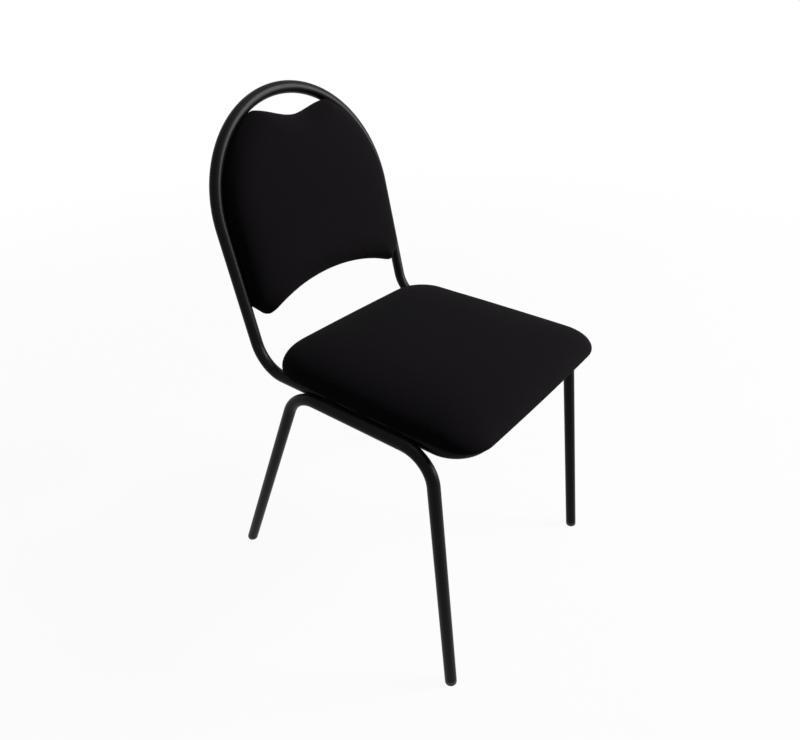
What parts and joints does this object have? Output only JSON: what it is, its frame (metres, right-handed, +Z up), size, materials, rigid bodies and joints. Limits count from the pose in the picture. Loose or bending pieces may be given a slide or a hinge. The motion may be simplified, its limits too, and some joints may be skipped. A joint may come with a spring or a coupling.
{
  "type": "choir chair",
  "caption": "Rigid stacking choir chair: bent round tube frame, arched back with a hand hole, padded seat and back in plain cloth.",
  "frame": {"origin": "on the floor, under the middle of the chair's outer box", "axes": "+Z up, the chair faces -Y, +X to the viewer's right from the front"},
  "size_m": [0.4534, 0.5351, 0.8203],
  "materials": {
    "frame_tube": "satin black powder coat",
    "weld": "weld bead under black powder coat",
    "foot_cap": "matt black moulded plastic",
    "plywood": "bare birch plywood",
    "foam": "open-cell foam",
    "upholstery": "plain woven black cloth",
    "lining": "black spun-bonded cloth",
    "hardware": "zinc plated"
  },
  "bodies": {
    "root": {"back_seat_frame": "frame_tube", "left_leg_frame": "frame_tube", "right_leg_frame": "frame_tube", "rear_cross_tube": "frame_tube", "seat_tabs": "frame_tube", "back_tabs": "frame_tube", "left_rail_welds": "weld", "right_rail_welds": "weld", "front_joint_weld": "weld", "front_left_foot": "foot_cap", "front_right_foot": "foot_cap", "rear_left_foot": "foot_cap", "rear_right_foot": "foot_cap", "seat_board": "plywood", "back_board": "plywood", "seat_foam": "foam", "back_foam": "foam", "seat_cover": "upholstery", "back_cover": "upholstery", "back_rear_panel": "upholstery", "seat_dust_cloth": "lining", "seat_staples": "hardware", "seat_t_nuts": "hardware", "seat_bolts": "hardware", "seat_washers": "hardware", "back_staples": "hardware", "back_t_nuts": "hardware", "back_bolts": "hardware", "back_washers": "hardware"}
  },
  "joints": []
}
